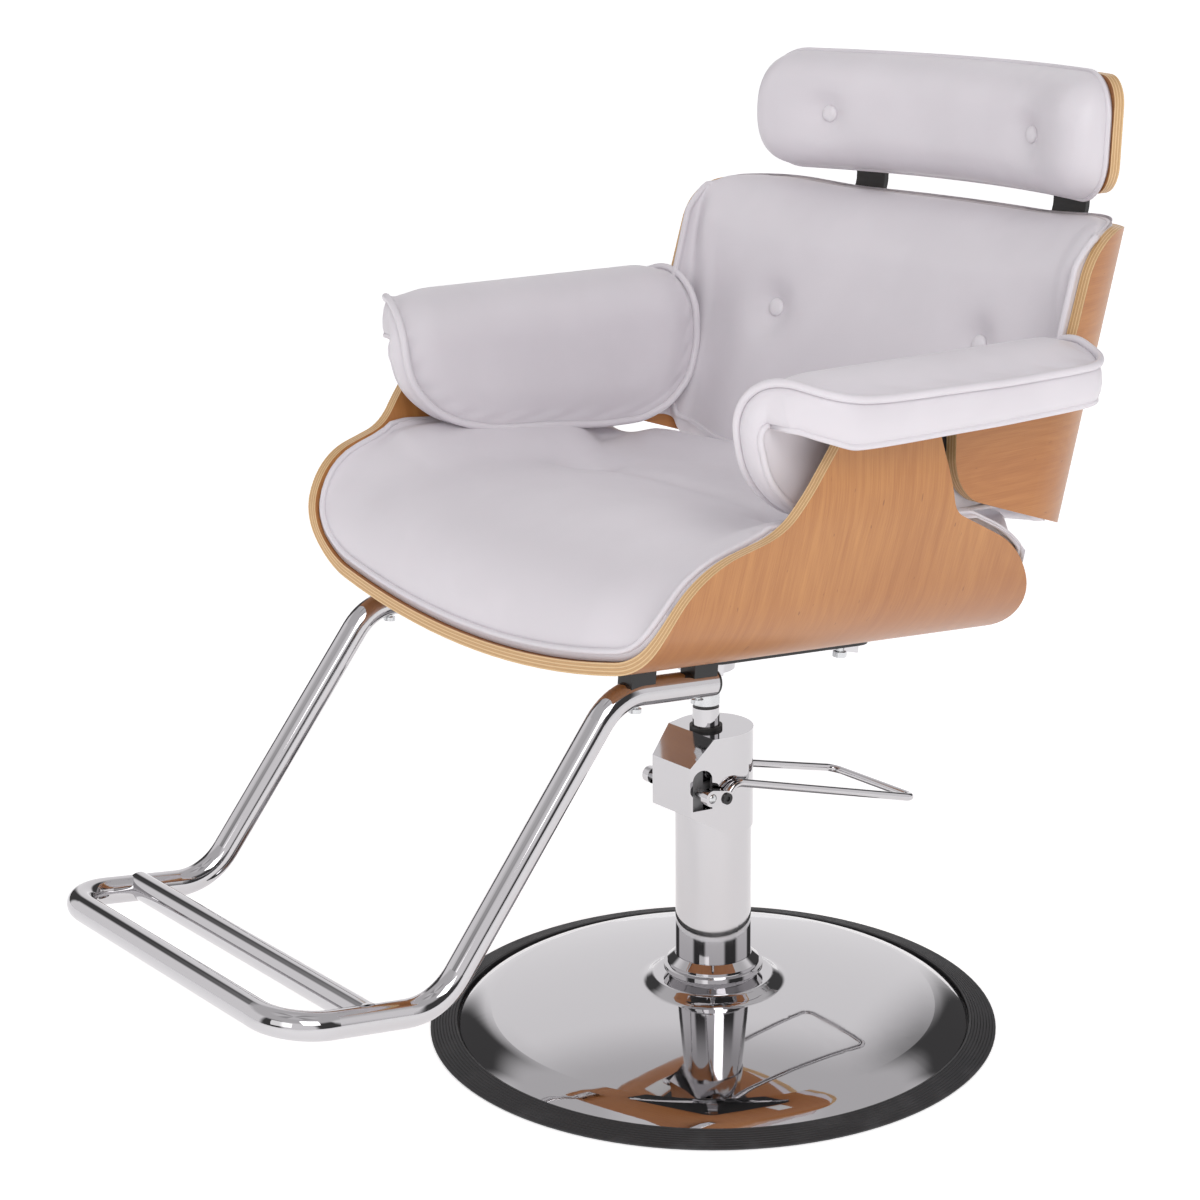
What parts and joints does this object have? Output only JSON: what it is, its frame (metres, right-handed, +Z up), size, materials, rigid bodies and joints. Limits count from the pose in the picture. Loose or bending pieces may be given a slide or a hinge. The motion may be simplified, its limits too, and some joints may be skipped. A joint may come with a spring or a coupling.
{
  "type": "styling chair",
  "caption": "Hydraulic styling chair with moulded plywood shells, padded seat, back, headrest and arms, a disc base, a foot pump pedal and a bent-tube footrest.",
  "frame": {"origin": "centre of the round base where it rests on the floor", "axes": "+Z up the lift column, -Y the way the sitter faces, +X the sitter's left"},
  "size_m": [0.724, 1.0229, 0.988],
  "materials": {
    "chrome": "mirror chrome plate",
    "ground_steel": "ground and oiled",
    "plain_steel": "grey primer",
    "black_steel": "satin black powder coat",
    "zinc": "bright zinc plate",
    "rubber": "matt, fine concentric ridges",
    "seal": "smooth",
    "bronze": "oiled",
    "plywood": "honey-brown veneer, clear satin lacquer, pale layered edges",
    "upholstery": "soft white vinyl over foam, piped seams",
    "plastic": "moulded black",
    "label": "blank white film"
  },
  "bodies": {
    "base": {"base_rubber_ring": "rubber", "base_dish": "chrome", "base_plate": "plain_steel", "foot_screws": "zinc", "pump_foot": "plain_steel", "pump_tube": "chrome", "column_collar": "chrome", "pressure_cylinder": "ground_steel", "ram_bush": "bronze", "wiper_seal": "seal", "plunger_barrel": "ground_steel", "pump_head": "chrome", "pedal_bearings": "plain_steel"},
    "ram": {"ram": "chrome", "piston": "ground_steel", "piston_seal": "seal", "thrust_washer": "seal"},
    "plunger": {"plunger": "ground_steel", "plunger_spring": "zinc"},
    "pedal": {"pedal_shaft": "zinc", "pedal_fork": "plain_steel", "fork_roller": "ground_steel", "pedal_bail": "chrome", "pedal_clamps": "chrome", "clamp_screws": "black_steel"},
    "seat": {"arm_board_left": "plywood", "arm_board_right": "plywood", "arm_bolts": "black_steel", "arm_bracket_left": "black_steel", "arm_bracket_right": "black_steel", "arm_pad_left": "upholstery", "arm_pad_right": "upholstery", "back_buttons": "upholstery", "back_cushion": "upholstery", "back_shell": "plywood", "blank_labels": "label", "bracket_bolts": "zinc", "footrest_bolts": "zinc", "footrest_crossbar": "chrome", "footrest_frame": "chrome", "footrest_plugs": "plastic", "footrest_saddles": "black_steel", "headrest_buttons": "upholstery", "headrest_cushion": "upholstery", "headrest_shell": "plywood", "headrest_strut_left": "black_steel", "headrest_strut_right": "black_steel", "mount_plate": "black_steel", "seat_bracket": "chrome", "seat_buttons": "upholstery", "seat_cushion": "upholstery", "seat_shell": "plywood", "shell_spacers": "plastic", "strut_screws": "black_steel", "strut_spacers": "plastic", "swivel_socket": "zinc"}
  },
  "joints": [
    {"name": "lift", "type": "slide", "parent": "base", "child": "ram", "axis": [0, 0, 1], "range_m": [-0.02, 0.13]},
    {"name": "swivel", "type": "hinge", "parent": "ram", "child": "seat", "pos_m": [0, -0.01, 0.4], "axis": [0, 0, 1], "continuous": true},
    {"name": "pedal", "type": "hinge", "parent": "base", "child": "pedal", "pos_m": [0, -0.045, 0.272], "axis": [-1, 0, 0], "range_deg": [-8, 18], "stiffness_Nm_per_rad": 20},
    {"name": "plunger", "type": "slide", "parent": "base", "child": "plunger", "axis": [0, 0, -1], "range_m": [-0.012, 0.024], "deforming": ["plunger_spring"]}
  ],
  "couplings": [
    {"joint": "plunger", "follows": "pedal", "m_per_rad": 0.07}
  ]
}
